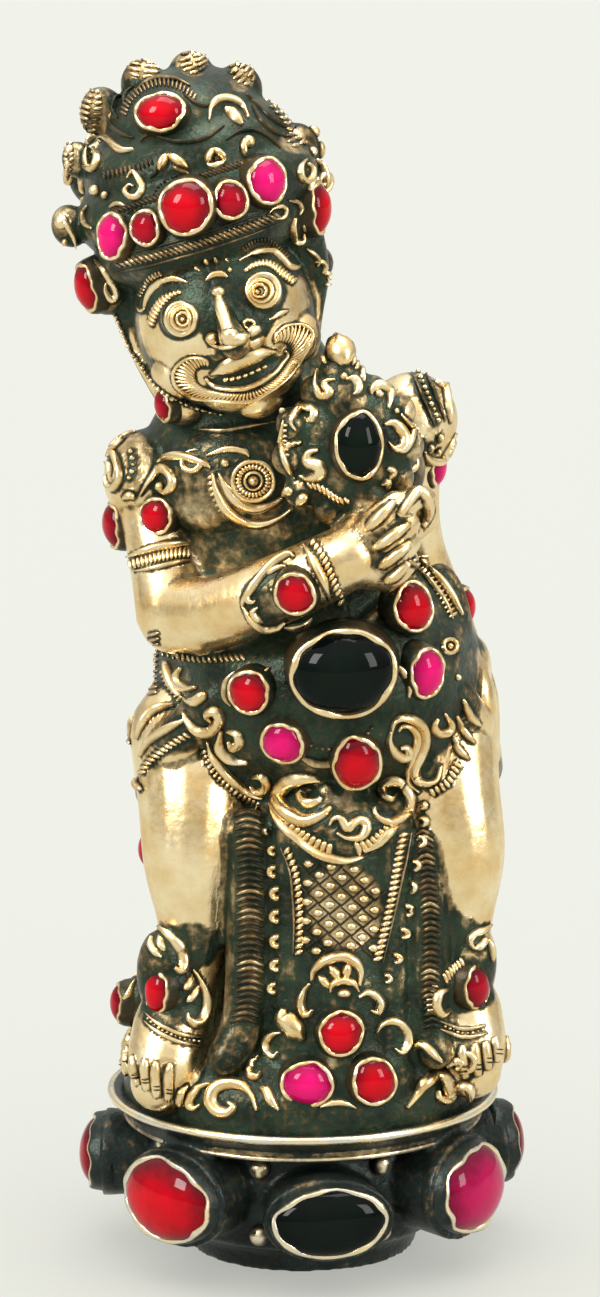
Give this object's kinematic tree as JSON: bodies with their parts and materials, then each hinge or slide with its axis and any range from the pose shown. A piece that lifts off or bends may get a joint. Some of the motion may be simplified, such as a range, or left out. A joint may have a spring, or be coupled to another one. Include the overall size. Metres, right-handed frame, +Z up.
{
  "type": "jewelled figure hilt",
  "caption": "Dagger hilt in the form of a standing guardian figure of raised gilt metal, set with cabochon stones, in the dish of a jewelled ring.",
  "frame": {"origin": "centre of the ring's flat underside, on the ring's axis", "axes": "+Z up along the ring's axis, -Y the way that the figure faces, +X to the right as seen from the front"},
  "size_m": [0.0559, 0.0521, 0.1435],
  "materials": {
    "gilt_metal": "gilt, burnished on raised forms, green-black patina in the hollows",
    "dark_silver": "blackened silver with bright rims",
    "red_cabochon": "polished",
    "pink_cabochon": "polished",
    "wine_cabochon": "polished",
    "black_cabochon": "polished"
  },
  "bodies": {
    "root": {"figure": "gilt_metal", "jewelled_ring": "dark_silver", "stone_back": "black_cabochon", "stone_base_left": "pink_cabochon", "stone_base_right": "red_cabochon", "stone_base_upper": "red_cabochon", "stone_belly": "black_cabochon", "stone_belly_left": "red_cabochon", "stone_belly_lower": "red_cabochon", "stone_belly_lower_left": "pink_cabochon", "stone_belly_right": "pink_cabochon", "stone_belly_upper_right": "red_cabochon", "stone_crown_front": "red_cabochon", "stone_crown_left": "pink_cabochon", "stone_crown_left_inner": "wine_cabochon", "stone_crown_left_side": "red_cabochon", "stone_crown_rear": "red_cabochon", "stone_crown_right": "pink_cabochon", "stone_crown_right_inner": "wine_cabochon", "stone_crown_right_side": "red_cabochon", "stone_crown_top": "red_cabochon", "stone_held_jewel": "black_cabochon", "stone_left_ankle": "red_cabochon", "stone_left_armlet": "wine_cabochon", "stone_left_bracelet": "red_cabochon", "stone_left_ear": "wine_cabochon", "stone_left_hip": "wine_cabochon", "stone_left_rear_ankle": "wine_cabochon", "stone_left_shoulder": "red_cabochon", "stone_right_ankle": "wine_cabochon", "stone_right_arm": "pink_cabochon", "stone_right_armlet": "wine_cabochon", "stone_right_bracelet": "red_cabochon", "stone_right_rear_ankle": "wine_cabochon", "stone_ring_1": "red_cabochon", "stone_ring_2": "black_cabochon", "stone_ring_3": "pink_cabochon", "stone_ring_4": "wine_cabochon", "stone_ring_5": "red_cabochon", "stone_ring_6": "black_cabochon", "stone_ring_7": "wine_cabochon"}
  },
  "joints": []
}
